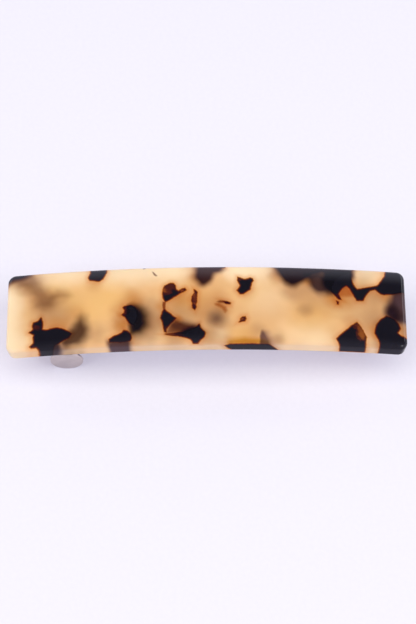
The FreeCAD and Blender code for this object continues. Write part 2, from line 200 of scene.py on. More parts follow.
class Graph:
    """Writes the nodes of one material or node group. A value may be a socket or a constant."""

    def __init__(self, name, group=False):
        if group:
            self.tree = bpy.data.node_groups.new(name, "ShaderNodeTree")
        else:
            self.material = bpy.data.materials.new(name)
            self.material.use_nodes = True
            self.tree = self.material.node_tree
        self.tree.nodes.clear()

    def node(self, kind, inputs=(), **settings):
        made = self.tree.nodes.new("ShaderNode" + kind)
        for key, value in settings.items():
            setattr(made, key, value)
        for key, value in dict(inputs).items():
            self.put(made.inputs[key], value)
        return made

    def put(self, socket, value):
        if isinstance(value, bpy.types.NodeSocket):
            self.tree.links.new(value, socket)
        else:
            socket.default_value = value

    def math(self, operation, *values):
        return self.node("Math", enumerate(values), operation=operation).outputs[0]

    def vector(self, operation, *values):
        made = self.node("VectorMath", enumerate(values), operation=operation)
        return made.outputs["Value" if operation in ("DOT_PRODUCT", "LENGTH", "DISTANCE") else "Vector"]

    def scaled(self, vector, factor):
        return self.node("VectorMath", {0: vector, "Scale": factor}, operation="SCALE").outputs[0]

    def combine(self, x, y, z):
        return self.node("CombineXYZ", {0: x, 1: y, 2: z}).outputs[0]

    def mix(self, factor, first, second, blend="MIX"):
        made = self.node("Mix", data_type="RGBA", blend_type=blend)
        for index, value in ((0, factor), (6, first), (7, second)):
            self.put(made.inputs[index], value)
        return made.outputs[2]

    def ramp(self, value, stops):
        """A colour or grey for a value, from (position, colour) stops between 0 and 1."""
        made = self.node("ValToRGB", {0: value})
        ramp = made.color_ramp
        ramp.interpolation = "EASE"
        while len(ramp.elements) < len(stops):
            ramp.elements.new(0.5)
        for element, (position, colour) in zip(ramp.elements, stops):
            element.position = position
            element.color = colour if isinstance(colour, tuple) else (colour, colour, colour, 1)
        return made.outputs[0]

    def step(self, value, start, end):
        """0 to 1 as a value goes from start to end, smoothly."""
        made = self.node(
            "MapRange", {0: value, 1: start, 2: end, 3: 0.0, 4: 1.0}, interpolation_type="SMOOTHSTEP"
        )
        return made.outputs[0]

    def noise(self, point, waves, detail=2.0, offset=0.0):
        """Noise as a height from 0 to 1, with a number of waves per unit of the point."""
        moved = self.vector("ADD", point, (offset, offset * 0.7, offset * 1.3))
        return self.node("TexNoise", {"Vector": moved, "Scale": waves, "Detail": detail}).outputs[0]

    def noise_vector(self, point, waves, reach, detail=2.0):
        """A random shift of a point, up to about reach each way."""
        made = self.node("TexNoise", {"Vector": point, "Scale": waves, "Detail": detail})
        centred = self.vector("SUBTRACT", made.outputs[1], (0.5, 0.5, 0.5))
        return self.scaled(centred, 2 * reach)

    def bump(self, height, distance, strength, normal=None):
        made = self.node("Bump", {"Height": height, "Distance": distance, "Strength": strength})
        if normal is not None:
            self.put(made.inputs["Normal"], normal)
        return made.outputs[0]

    def grouped(self, name, inputs, build):
        """The result of a group of nodes, which build(graph, *sockets) makes from some inputs."""
        inner = Graph(name, group=True)
        for key, value in inputs.items():
            kind = "NodeSocketVector" if value.type == "VECTOR" else "NodeSocketFloat"
            inner.tree.interface.new_socket(key, in_out="INPUT", socket_type=kind)
        inner.tree.interface.new_socket("result", in_out="OUTPUT", socket_type="NodeSocketFloat")
        entry = inner.tree.nodes.new("NodeGroupInput")
        result = build(inner, *entry.outputs[:len(inputs)])
        inner.tree.links.new(result, inner.tree.nodes.new("NodeGroupOutput").inputs[0])
        made = self.tree.nodes.new("ShaderNodeGroup")
        made.node_tree = inner.tree
        for key, value in inputs.items():
            self.put(made.inputs[key], value)
        return made.outputs[0]

    def finish(self, **inputs):
        """The surface shader and the output. Names are the shader's own, with _ for a space."""
        shader = self.node("BsdfPrincipled")
        for key, value in inputs.items():
            self.put(shader.inputs[key.replace("_", " ")], value)
        output = self.node("OutputMaterial")
        self.tree.links.new(shader.outputs[0], output.inputs["Surface"])
        return self.material


# ---------------------------------------------------------------- the acetate's pattern

# The dark flakes of acetate in the honey sheet. Outlines are millimetres from the plate's middle,
# (x, y) seen from the front. "floor" is the height above the back face that a flake reaches down to
BLACK_FLAKES = [
    # corner at the far left
    {"outline": [(-50.6, 8.0), (-49.3, 9.2), (-48.4, 9.7), (-46.4, 9.9), (-45.0, 10.6), (-44.8, 12.2),
                 (-50.6, 12.2)]},
    # the beast at the left, with its head, spur and foot
    {"outline": [(-43.1, -3.3), (-42.0, -3.0), (-41.2, -2.0), (-40.8, -3.2), (-40.8, -5.4), (-40.0, -5.7),
                 (-38.6, -5.3), (-37.2, -5.2), (-35.6, -5.6), (-34.2, -6.5), (-33.5, -7.2), (-34.2, -8.2),
                 (-36.2, -9.4), (-37.6, -10.1), (-38.3, -12.2), (-41.0, -12.2), (-41.5, -11.0),
                 (-42.2, -10.3), (-42.7, -10.3), (-43.3, -10.4), (-43.9, -10.1), (-42.9, -9.1),
                 (-43.1, -7.6), (-42.9, -6.8), (-44.1, -6.1), (-43.1, -5.2), (-43.4, -4.2)]},
    # far edge, left
    {"outline": [(-29.3, 12.2), (-24.9, 12.2), (-25.0, 9.6), (-25.9, 7.9), (-27.0, 7.3), (-28.2, 7.7),
                 (-29.2, 7.8), (-29.5, 8.6), (-28.9, 9.8)]},
    # near edge, left of the middle
    {"outline": [(-24.1, -9.3), (-23.1, -8.5), (-22.0, -8.1), (-21.1, -7.6), (-20.5, -6.9), (-19.6, -7.1),
                 (-18.9, -7.9), (-18.5, -9.1), (-18.8, -9.9), (-21.3, -10.2), (-24.0, -10.0)]},
    # above it, with a soft flake behind
    {"outline": [(-20.4, -0.1), (-19.4, 0.05), (-18.6, 0.0), (-17.7, -0.6), (-17.2, -1.6), (-17.0, -3.0),
                 (-17.4, -4.5), (-17.9, -5.3), (-18.5, -5.5), (-19.1, -5.0), (-19.6, -4.2), (-20.1, -3.2),
                 (-21.1, -2.5), (-20.4, -2.0), (-20.3, -1.2), (-20.8, -0.6)]},
    # middle: the flake with a tail
    {"outline": [(-10.7, 4.6), (-10.3, 5.4), (-9.7, 5.6), (-9.0, 6.1), (-8.1, 6.0), (-7.6, 5.3),
                 (-7.6, 4.3), (-6.9, 3.7), (-5.9, 4.4), (-5.3, 4.5), (-5.0, 4.0), (-5.5, 3.6),
                 (-6.4, 3.3), (-7.3, 2.6), (-8.5, 1.8), (-9.3, 1.1), (-10.2, 0.8), (-10.7, 1.7),
                 (-10.9, 3.2)]},
    # the barb under it
    {"outline": [(-10.8, -1.8), (-10.3, -1.4), (-9.8, -2.1), (-8.9, -2.6), (-8.3, -3.4), (-7.5, -3.9),
                 (-8.1, -4.6), (-9.0, -5.4), (-9.5, -6.3), (-10.0, -7.0), (-10.0, -7.9), (-10.5, -7.7),
                 (-10.7, -6.0), (-10.9, -4.8), (-11.4, -3.8)]},
    # the sliver beside it
    {"outline": [(-3.1, 4.1), (-2.7, 4.0), (-2.2, 3.4), (-2.3, 1.8), (-2.4, 0.4), (-2.7, 0.0),
                 (-2.5, -0.8), (-2.9, -1.6), (-3.5, -1.0), (-3.4, 0.2), (-3.7, 0.8), (-3.5, 2.2),
                 (-2.9, 3.2)]},
    # wedge towards the near edge
    {"outline": [(-10.2, -8.4), (-8.6, -8.2), (-6.6, -8.0), (-4.8, -7.7), (-3.4, -7.1), (-2.4, -6.4),
                 (-1.8, -5.6), (-1.5, -6.8), (-1.0, -7.4), (-0.3, -8.2), (-0.5, -9.2), (-1.3, -10.0),
                 (-2.2, -10.7), (-2.6, -11.4), (-3.3, -11.0), (-3.9, -10.0), (-5.2, -9.4), (-7.0, -9.0),
                 (-8.8, -8.8)],
     "floor": 3.4},
    # the jagged flake, right of the middle
    {"outline": [(7.9, 7.6), (8.6, 7.4), (9.3, 7.0), (10.2, 7.1), (10.9, 7.5), (11.6, 7.2), (11.8, 6.6),
                 (11.3, 6.0), (11.2, 5.2), (10.9, 4.0), (10.0, 3.4), (9.2, 2.8), (8.4, 2.8), (8.1, 3.3),
                 (7.6, 3.8), (8.2, 4.5), (8.5, 5.3), (8.1, 6.0), (7.8, 6.8)]},
    # dark stroke and chip under it
    {"outline": [(4.4, 0.6), (5.2, 0.6), (6.0, 0.2), (5.9, -0.1), (4.9, 0.0)]},
    {"outline": [(8.1, -5.2), (8.4, -4.8), (8.4, -4.2), (8.9, -3.7), (9.6, -3.6), (9.8, -4.2),
                 (9.5, -4.9), (8.9, -5.1)]},
    # crumb below the long hook
    {"outline": [(32.5, 1.3), (33.0, 1.2), (32.9, 0.5), (32.6, 0.5)]},
    # far edge, middle
    {"outline": [(-1.0, 10.9), (0.5, 10.7), (4.7, 10.4), (4.8, 12.2), (-1.2, 12.2)]},
    # the long hook at the far right, round the pale window
    {"outline": [(31.2, 5.2), (32.0, 7.4), (34.0, 9.0), (36.2, 10.0), (36.3, 8.0), (36.9, 6.2),
                 (37.8, 4.9), (40.2, 5.6), (42.9, 6.3), (43.8, 7.5), (44.9, 9.2), (45.3, 12.2),
                 (50.6, 12.2), (50.6, 5.4), (49.0, 4.7), (46.0, 4.0), (44.3, 3.8), (43.2, 4.4),
                 (42.3, 5.3), (41.0, 4.8), (39.8, 3.3), (39.1, 1.8), (37.6, 1.7), (36.8, 3.2),
                 (35.9, 5.2), (35.0, 6.0), (34.0, 5.2), (33.0, 3.5), (33.7, 1.8), (32.9, 2.0),
                 (32.1, 2.9), (31.4, 3.9)]},
    # right end
    {"outline": [(44.8, -2.2), (45.6, -2.6), (46.6, -3.0), (47.8, -4.2), (48.2, -5.6), (47.4, -6.8),
                 (48.2, -7.6), (50.6, -8.6), (50.6, -12.2), (42.7, -12.2), (42.9, -10.6), (42.8, -9.6),
                 (42.2, -8.3), (41.7, -7.2), (41.9, -6.0), (42.3, -4.8), (43.2, -3.4)]},
    # pentagon at the near edge, right
    {"outline": [(37.3, -4.5), (37.9, -5.1), (38.6, -6.3), (39.2, -7.6), (39.6, -8.6), (39.3, -9.8),
                 (39.3, -12.2), (33.4, -12.2), (32.7, -10.6), (32.1, -9.4), (33.1, -8.2), (34.4, -6.95),
                 (35.6, -5.8)],
     "floor": 0.6},
]

# A flake low in the front edge, its outline in (x, height above the back)
EDGE_FLAKES = [
    {"outline": [(4.4, 2.5), (5.6, 3.2), (12.0, 3.3), (15.6, 3.1), (17.6, 0.4), (16.0, -1.0), (7.5, -1.0),
                 (6.0, 0.6)]},
]

# Where a black flake is thin and glows red-brown: x, y, radius and strength
THIN = [
    (5.0, 0.3, 2.6, 0.9), (-2.9, 1.4, 2.4, 0.8), (-42.6, -4.6, 1.9, 0.8), (-43.2, -10.3, 1.2, 0.7),
    (-10.4, 4.2, 1.8, 1.0), (-8.4, 5.4, 2.2, 0.8), (-9.4, 3.2, 1.4, 0.6), (-6.0, 4.0, 1.8, 1.0),
    (-2.8, 2.6, 1.6, 0.9), (-2.9, 0.0, 1.4, 0.9), (-10.3, -7.0, 1.2, 0.7), (-20.2, -1.0, 1.8, 0.85),
    (-20.3, -2.4, 1.4, 0.8), (-27.4, 8.0, 2.4, 0.5), (8.3, 7.2, 1.5, 0.8), (9.0, -4.4, 2.0, 0.95),
    (32.4, 2.8, 1.8, 0.8), (37.3, -5.0, 1.6, 0.8), (38.0, -6.2, 1.8, 0.9), (38.5, -7.5, 1.9, 1.0),
    (38.7, -8.6, 1.9, 1.0), (36.8, 4.9, 1.5, 0.5), (42.0, 5.6, 1.5, 0.35), (-9.2, -8.4, 2.6, 1.0),
    (-7.0, -7.6, 2.4, 0.7), (-4.2, -7.6, 3.6, 0.58), (46.2, 4.2, 1.6, 0.5), (-10.6, -1.8, 1.0, 0.7),
]

# Clear brown flakes with crisp edges, whose tone multiplies the honey's
BROWN_FLAKES = [
    # between the flake with a tail and its barb
    {"outline": [(-10.9, 0.8), (-10.0, 0.7), (-10.2, -0.6), (-10.1, -1.8), (-10.8, -1.5), (-11.0, -0.4)],
     "tone": (152, 92, 48), "cover": 0.9, "blur": 0.2},
    # above the wedge
    {"outline": [(-10.1, -8.3), (-9.9, -7.3), (-9.5, -6.2), (-8.6, -5.0), (-7.7, -4.2), (-6.4, -5.0),
                 (-4.8, -5.8), (-3.0, -6.4), (-3.4, -8.0)],
     "tone": (150, 112, 98), "cover": 0.92, "blur": 0.8},
    # upper and lower stroke, right of the middle
    {"outline": [(2.6, 0.6), (3.3, 1.0), (4.6, 0.9), (5.9, 0.5), (6.1, 0.0), (4.6, 0.1), (3.4, 0.3)],
     "tone": (140, 96, 60), "cover": 0.9, "blur": 0.3},
    {"outline": [(2.1, 0.1), (3.2, 0.4), (3.8, -0.2), (4.9, -0.8), (5.2, -2.0), (4.7, -2.6), (3.8, -1.3),
                 (2.2, -0.5)],
     "tone": (196, 144, 100), "cover": 0.8, "blur": 0.45},
    # dash near the far edge
    {"outline": [(-13.5, 9.5), (-13.1, 9.4), (-12.2, 8.3), (-12.5, 8.1), (-13.2, 8.7)],
     "tone": (136, 104, 92), "cover": 0.95, "blur": 0.2},
    # speck on the far edge
    {"outline": [(-15.9, 11.2), (-15.2, 11.2), (-15.2, 10.4), (-15.7, 10.3)],
     "tone": (70, 50, 44), "cover": 0.95, "blur": 0.2, "floor": 2.7},
    # in the crook of the long hook
    {"outline": [(32.6, 3.0), (34.2, 5.8), (35.2, 6.4), (36.4, 4.4), (37.0, 2.9), (35.0, 2.6)],
     "tone": (214, 158, 104), "cover": 0.8, "blur": 0.7},
]

# Flakes deep in the sheet, blurred by the acetate over them. "blur" is in millimetres, "warm" the colour
# of the haze and "tone" that of the middle. Where "crisp" is given, the flake goes from a crisp outline
# at the first x to its full blur at the second
DEEP_FLAKES = [
    # cloud at the far left, and its dark corner
    {"outline": [(-50.8, 8.0), (-47.5, 12.0), (-43.6, 12.0), (-41.0, 8.0), (-39.0, 5.4), (-35.4, 5.0),
                 (-34.4, 3.8), (-37.0, 2.4), (-38.2, 0.4), (-40.6, -0.4), (-43.2, 0.8), (-43.4, 3.4),
                 (-45.0, 5.5)],
     "warm": (206, 152, 96), "tone": (160, 116, 80), "cover": 0.72, "blur": 2.2},
    {"outline": [(-50.8, 6.6), (-49.0, 8.4), (-46.4, 8.8), (-43.8, 10.2), (-43.6, 12.4), (-50.8, 12.4)],
     "warm": (170, 120, 74), "tone": (96, 66, 48), "cover": 0.9, "blur": 1.0},
    # leaf behind the beast
    {"outline": [(-34.4, -7.0), (-33.3, -5.0), (-32.5, -3.2), (-31.1, -1.9), (-30.1, -2.5), (-29.4, -4.3),
                 (-29.1, -6.4), (-29.2, -8.4), (-30.3, -9.9), (-32.0, -10.7), (-33.8, -11.0),
                 (-35.5, -10.7), (-36.1, -9.2)],
     "warm": (166, 120, 78), "tone": (122, 88, 60), "cover": 0.95, "blur": 1.7, "crisp": (-38.0, -31.0)},
    # under the beast's foot
    {"outline": [(-39.4, -9.2), (-37.0, -8.6), (-35.7, -9.3), (-35.0, -12.5), (-40.0, -12.5)],
     "warm": (160, 120, 96), "tone": (72, 54, 52), "cover": 0.95, "blur": 1.4},
    # near edge, left of the middle, and the flake above it
    {"outline": [(-24.6, -9.6), (-18.8, -9.0), (-18.6, -10.4), (-19.4, -12.5), (-24.0, -12.5)],
     "warm": (160, 118, 90), "tone": (96, 72, 70), "cover": 0.9, "blur": 0.9},
    {"outline": [(-19.9, 0.4), (-18.4, 0.7), (-16.3, 0.3), (-14.3, -2.3), (-14.2, -6.0), (-15.8, -8.4),
                 (-19.2, -8.6), (-19.7, -6.0), (-20.1, -3.8), (-20.3, -1.6)],
     "warm": (162, 114, 72), "tone": (28, 24, 26), "cover": 0.98, "blur": 1.9, "crisp": (-21.6, -16.2)},
    # haze above the wedge, and over it
    {"outline": [(-9.4, -5.0), (-5.4, -4.2), (-2.0, -5.4), (-2.6, -7.6), (-8.6, -7.8)],
     "warm": (190, 136, 92), "tone": (128, 84, 58), "cover": 0.75, "blur": 1.4},
    {"outline": [(-7.4, -8.2), (-5.6, -6.9), (-4.0, -6.2), (-2.2, -5.6), (-1.2, -6.4), (-0.8, -8.2),
                 (-2.4, -9.6), (-5.0, -9.2)],
     "warm": (150, 104, 74), "tone": (58, 44, 46), "cover": 0.95, "blur": 1.1},
    # far edge, middle
    {"outline": [(-2.9, 9.8), (-2.6, 12.5), (4.9, 12.5), (4.6, 9.6), (3.6, 8.6), (2.6, 8.8), (2.0, 8.6),
                 (1.6, 7.0), (1.0, 5.7), (-0.2, 5.0), (-1.6, 5.1), (-2.8, 6.6), (-3.6, 8.2)],
     "warm": (172, 118, 82), "tone": (74, 48, 45), "cover": 0.97, "blur": 1.15},
    # fin at the near edge, right of the middle
    {"outline": [(13.1, -7.3), (13.6, -7.1), (14.4, -7.7), (15.8, -9.2), (17.2, -12.5), (12.9, -12.5),
                 (13.1, -9.8)],
     "warm": (196, 148, 112), "tone": (140, 104, 82), "cover": 0.92, "blur": 1.9, "crisp": (12.8, 16.4)},
    # the long soft flake on the far edge, right, and its two lobes
    {"outline": [(16.5, 12.5), (16.6, 10.8), (17.3, 9.0), (18.3, 7.2), (19.6, 5.6), (21.2, 4.8),
                 (22.8, 5.1), (24.2, 6.4), (25.8, 7.5), (28.8, 8.6), (30.2, 7.0), (31.4, 5.0),
                 (35.0, 6.0), (37.2, 8.6), (37.2, 12.5)],
     "warm": (160, 106, 68), "tone": (48, 36, 42), "cover": 0.98, "blur": 1.2},
    {"outline": [(24.6, 9.0), (25.2, 6.2), (26.6, 4.2), (28.2, 3.0), (30.5, 3.1), (31.6, 5.6),
                 (31.0, 8.0), (28.4, 9.8)],
     "warm": (172, 126, 92), "tone": (88, 64, 60), "cover": 0.94, "blur": 1.4},
    {"outline": [(28.8, 8.8), (29.3, 5.4), (30.4, 3.6), (32.0, 3.1), (33.4, 5.0), (36.4, 7.2),
                 (36.8, 9.6), (30.6, 10.1)],
     "warm": (120, 94, 80), "tone": (30, 28, 36), "cover": 0.97, "blur": 1.2},
    # right end; its grey tone is partly the flake's own and partly a painted highlight along the rounded
    # end
    {"outline": [(46.2, 4.4), (47.4, 6.4), (50.8, 7.0), (50.8, -4.2), (48.0, -4.6), (45.4, -3.4),
                 (44.2, -1.8), (44.6, 0.4), (45.6, 1.8)],
     "warm": (150, 104, 78), "tone": (122, 98, 92), "cover": 0.97, "blur": 1.5},
    # golden strip along the near edge
    {"outline": [(5.2, -10.2), (8.0, -9.6), (13.0, -9.6), (15.4, -10.2), (15.8, -11.6), (4.8, -11.6)],
     "warm": (236, 184, 100), "tone": (206, 150, 56), "cover": 0.95, "blur": 0.9},
]

# Soft round spots where the honey takes another tone, some of them painted highlight and shade, laid on in
# this order: x, y, radius and strength
HONEY_SPOTS = {
    "gold": {"tone": (237, 188, 116), "strength": 1.0, "spots": [
        (-34.0, 2.0, 6.0, 0.6), (-24.0, 3.0, 6.0, 0.6), (-28.0, -1.5, 5.0, 0.5), (-37.0, 7.0, 4.0, 0.4),
        (-4.0, 1.0, 5.0, 0.5), (26.5, -4.2, 6.0, 0.7), (33.0, 1.0, 4.0, 0.4), (11.0, 3.0, 5.0, 0.3),
        (9.0, -9.4, 4.0, 0.5),
    ]},
    # the pale spots along the far edge and at the left end are partly the sheet's own paler tone and
    # partly a painted highlight
    "pale": {"tone": (250, 229, 191), "strength": 1.0, "spots": [
        (-50.0, 4.0, 5.0, 0.8), (-50.0, -1.0, 5.0, 0.7), (-50.0, -6.0, 5.0, 0.7),
        (-49.6, -10.4, 4.6, 0.8), (-46.0, -9.0, 3.0, 0.3), (-41.0, 9.6, 4.0, 0.35),
        (-35.5, 10.4, 5.0, 0.65), (-31.0, 10.8, 4.0, 0.4), (-22.5, 9.8, 5.0, 0.6), (-17.0, 9.8, 5.0, 0.6),
        (-12.0, 10.4, 4.6, 0.6), (-7.4, 10.4, 4.6, 0.7), (9.0, 11.0, 5.5, 0.8), (13.6, 10.4, 4.5, 0.6),
        (6.6, 9.4, 3.0, 0.4), (-14.0, -10.2, 3.6, 0.25), (3.2, -8.6, 2.6, 0.4), (40.4, 9.8, 4.0, 0.6),
        (20.0, -9.0, 5.0, 0.2), (27.0, -9.4, 6.0, 0.5), (41.0, -10.2, 2.0, 0.35), (15.0, 2.0, 7.0, 0.3),
        (38.7, -8.0, 2.2, 0.8),
    ]},
    # darker tone of the sheet; the spots along the near edge, at y of about -10, are painted shade on the
    # rounded edge
    "darker_and_painted_shade": {"tone": (167, 120, 81), "strength": 1.0, "spots": [
        (-7.0, -0.5, 3.6, 0.5), (-13.4, -4.8, 4.4, 0.75), (-14.2, -1.6, 3.6, 0.35),
        (-14.8, -8.6, 3.0, 0.45), (0.5, -2.4, 4.6, 0.45), (0.6, -8.2, 3.0, 0.5), (3.4, -5.8, 3.6, 0.35),
        (42.2, -3.6, 3.8, 0.6), (43.0, 1.6, 4.0, 0.35), (39.0, 0.6, 6.0, 0.4), (33.0, -0.4, 5.0, 0.3),
        (27.0, 2.4, 5.0, 0.4), (24.6, -1.0, 3.2, 0.3), (21.8, 4.2, 3.6, 0.4), (25.2, 5.4, 2.6, 0.4),
        (18.0, 7.4, 2.4, 0.4), (-39.4, -0.8, 4.6, 0.6), (-36.0, 1.4, 5.0, 0.35), (-35.6, -3.4, 3.6, 0.4),
        (-27.4, -7.4, 3.4, 0.4), (-20.0, -4.6, 3.0, 0.3), (-45.4, 7.0, 2.8, 0.4), (38.6, -4.6, 4.0, 0.3),
        (49.4, -6.2, 2.4, 0.8), (-8.6, -10.0, 3.4, 0.4), (12.8, -7.4, 2.4, 0.4), (0.6, -10.6, 3.2, 0.4),
        (-18.0, -10.4, 2.6, 0.5), (-14.0, -10.6, 2.6, 0.3), (42.0, -10.4, 2.6, 0.6),
        (4.4, -10.4, 2.6, 0.4), (17.4, -9.4, 2.6, 0.35), (-13.6, -4.6, 3.2, 0.5), (-14.0, 0.6, 3.0, 0.3),
        (-4.4, -3.2, 3.2, 0.5), (-7.4, -3.2, 2.4, 0.4), (42.2, 3.4, 2.6, 0.4), (39.0, 6.4, 3.2, 0.3),
        (40.4, 9.0, 3.0, 0.2), (45.6, 2.0, 2.4, 0.5), (17.0, 9.2, 2.0, 0.4), (3.4, -1.6, 2.6, 0.3),
        (-21.0, -4.4, 2.2, 0.3), (-7.0, -10.4, 2.4, 0.3), (21.0, 3.6, 3.0, 0.3), (-14.2, -6.8, 3.2, 0.35),
        (3.5, -5.4, 2.2, 0.35), (17.6, -10.2, 1.8, 0.5), (49.0, -6.2, 1.6, 0.5),
    ]},
    "amber": {"tone": (182, 108, 34), "strength": 0.85, "spots": [
        (-38.6, -4.2, 2.6, 0.5), (-35.6, -4.6, 2.6, 0.5), (-32.4, -1.6, 3.0, 0.4),
        (-28.0, 6.8, 2.4, 0.35), (-18.5, 1.4, 3.4, 0.65), (-21.6, -1.2, 2.8, 0.5),
        (-21.6, -5.2, 2.8, 0.55), (-11.2, -0.4, 1.8, 0.6), (-6.6, 2.2, 2.8, 0.65), (-3.0, 1.0, 4.0, 0.45),
        (2.6, 1.0, 3.4, 0.5), (4.4, -1.8, 2.2, 0.5), (-0.6, -3.0, 2.6, 0.35), (9.6, 3.8, 3.0, 0.5),
        (-1.8, 7.0, 2.4, 0.4), (-9.4, -0.6, 3.0, 0.35), (34.8, 4.6, 1.8, 0.6), (25.4, 6.6, 1.6, 0.7),
        (26.5, -4.2, 4.6, 0.3), (31.6, 2.0, 2.8, 0.75), (35.2, 1.8, 2.8, 0.55), (38.6, 2.0, 2.2, 0.4),
        (17.4, 8.0, 2.0, 0.4), (41.4, -6.4, 2.4, 0.4), (45.0, 3.0, 2.0, 0.5), (31.8, -7.0, 2.2, 0.25),
        (35.4, -4.8, 2.4, 0.35), (40.4, -7.6, 2.0, 0.35), (10.0, -9.2, 3.2, 0.3), (-20.8, -5.6, 2.0, 0.7),
        (-17.6, 0.8, 2.0, 0.5), (3.4, 0.2, 1.8, 0.4), (33.2, 1.8, 3.0, 0.3), (42.4, -8.4, 1.6, 0.4),
        (-3.4, 8.0, 1.8, 0.4), (-7.0, -4.2, 1.4, 0.8), (-21.0, -2.2, 1.4, 0.5), (42.2, 4.0, 1.8, 0.35),
    ]},
    "smoke": {"tone": (112, 76, 56), "strength": 1.0, "spots": [
        (2.5, -4.1, 2.7, 0.9), (24.6, -1.5, 2.0, 0.25), (-17.2, -8.0, 2.2, 0.3), (43.4, -5.0, 2.0, 0.3),
        (46.2, -0.4, 2.2, 1.0), (47.2, -2.0, 2.2, 1.0), (46.8, 5.0, 1.6, 0.6),
    ]},
}


def turn(first, second, third):
    """Above 0 where three points of an outline turn left."""
    return (second[0] - first[0]) * (third[1] - first[1]) - (second[1] - first[1]) * (third[0] - first[0])


def half_hull(corners):
    """The lower side of the hull of sorted corners, or its upper side where they are sorted in reverse."""
    hull = []
    for corner in corners:
        while len(hull) > 1 and turn(hull[-2], hull[-1], corner) <= 0:
            hull.pop()
        hull.append(corner)
    return hull


def outline_field(graph, point, corners, rounding, closed=True):
    """The distance in mm outside an anticlockwise outline, below 0 inside: its hull less its bays.

    With closed False the side from the last corner to the first is left open.
    """
    hull = half_hull(sorted(corners)) + half_hull(sorted(corners, reverse=True))
    on_hull = [index for index, corner in enumerate(corners) if corner in hull]
    field = None
    for start, end in zip(on_hull, on_hull[1:] + on_hull[:1]):
        if not closed and (start, end) == (len(corners) - 1, 0):
            continue
        first, last = Vector(corners[start]), Vector(corners[end])
        outward = Vector((last.y - first.y, first.x - last.x)).normalized()
        plane = graph.vector("DOT_PRODUCT", point, (outward.x, outward.y, -outward.dot(first)))
        field = plane if field is None else graph.math("SMOOTH_MAX", field, plane, rounding)
        stop = end + 1 if end > start else end + 1 + len(corners)
        bay = [corners[index % len(corners)] for index in range(start, stop)]
        if len(bay) > 2:
            cut = outline_field(graph, point, bay[::-1], rounding, closed=False)
            field = graph.math("SMOOTH_MAX", field, graph.math("MULTIPLY", cut, -1.0), rounding)
    return field


def flake_field(graph, name, point, height, flake, rounding=CRISP_ROUNDING):
    """The distance in mm outside a flake, below 0 inside it."""
    corners = flake["outline"]
    area = sum(a[0] * b[1] - b[0] * a[1] for a, b in zip(corners, corners[1:] + corners[:1]))

    def build(inner, place, level):
        field = outline_field(inner, place, corners if area > 0 else corners[::-1], rounding)
        if "floor" in flake:
            below = inner.math("SUBTRACT", flake["floor"], level)
            field = inner.math("SMOOTH_MAX", field, below, FLOOR_ROUNDING)
        return field
    return graph.grouped(name, {"place": point, "level": height}, build)


def spot_field(graph, name, point, spots):
    """How strongly a point lies in any of the soft round spots, from 0 to 1."""
    def build(inner, place):
        clear = 1.0
        for x, y, radius, strength in spots:
            away = inner.vector("DISTANCE", place, (x, y, 1.0))
            inside = inner.step(away, start=radius * SPOT_REACH, end=0.0)
            clear = inner.math("MULTIPLY", inner.math("MULTIPLY_ADD", inside, -strength, 1.0), clear)
        return inner.math("SUBTRACT", 1.0, clear)
    return graph.grouped(name, {"place": point}, build)


def pattern_places(graph):
    """Where a point of the plate lies, in mm, and the points where its flakes and spots are looked up.

    Those points lie in the sheet, with 1 as their third number, so that a dot product measures how far
    they are from a line.
    """
    at = SimpleNamespace()
    at.mm = graph.scaled(graph.node("TexCoord").outputs["Object"], 1 / MM)
    at.x, at.y, z = graph.node("SeparateXYZ", {0: at.mm}).outputs
    above_centre = graph.math("SUBTRACT", z, ARCH_CENTRE_Z / MM)
    radius = graph.vector("LENGTH", graph.combine(at.x, 0.0, above_centre))
    at.height = graph.math("SUBTRACT", radius, BACK_RADIUS / MM)

    # flakes lean a little with depth, crisp ones have ragged rims, and soft ones wander
    in_sheet = (1.0, 1.0, 0.0)
    mostly_along_x = (1.0, 0.4, 0.0)
    flat = graph.combine(at.x, at.y, 1.0)
    depth = graph.math("MULTIPLY_ADD", at.height, -MM / PLATE_THICKNESS, 1.0)
    lean = graph.scaled(graph.noise_vector(flat, waves=0.13, reach=2.6), depth)
    at.flat = graph.vector("ADD", flat, graph.vector("MULTIPLY", lean, mostly_along_x))
    ragged = graph.noise_vector(at.mm, waves=1.7, reach=0.13, detail=3.0)
    wandering = graph.noise_vector(at.mm, waves=0.4, reach=0.16)
    crisp_shift = graph.vector("MULTIPLY", graph.vector("ADD", ragged, wandering), in_sheet)
    drifting = graph.noise_vector(at.mm, waves=0.3, reach=0.5, detail=1.0)
    mottled = graph.noise_vector(at.mm, waves=0.8, reach=1.1, detail=4.0)
    at.crisp = graph.vector("ADD", at.flat, crisp_shift)
    at.soft = graph.vector("ADD", at.flat, graph.vector("MULTIPLY", drifting, in_sheet))
    at.thin = graph.vector("ADD", at.flat, graph.vector("MULTIPLY", mottled, in_sheet))
    at.edge = graph.vector("ADD", graph.combine(at.x, at.height, 1.0), crisp_shift)
    return at


def honey_sheet(graph, at, clouds, side):
    """The colour of the clear sheet: clouds and streaks, soft spots of other tones and of painted
    highlight and shade, and a painted glow on the long sides.
    """
    stretched = graph.vector("MULTIPLY", at.mm, STREAK_STRETCH)
    streaks = graph.noise(stretched, waves=0.28, detail=3.0, offset=9.0)
    streaked = graph.math("MULTIPLY", graph.step(streaks, start=0.45, end=0.8), STREAK_SHARE)
    clouded = graph.step(clouds, start=0.35, end=0.65)
    colour = graph.mix(clouded, linear(*HONEY_DULL), linear(*HONEY_BRIGHT))
    colour = graph.mix(streaked, colour, linear(*STREAK))
    for name, layer in HONEY_SPOTS.items():
        cover = spot_field(graph, f"spots_{name}", at.soft, layer["spots"])
        cover = graph.math("MULTIPLY", cover, layer["strength"])
        colour = graph.mix(cover, colour, linear(*layer["tone"]))
    # a painted glow on the long sides, strongest low down by the back
    side_glow = graph.math("MULTIPLY", graph.step(at.height, start=3.9, end=2.4), SIDE_GLOW_SHARE)
    return graph.mix(graph.math("MULTIPLY", side, side_glow), colour, linear(*SIDE_GLOW))


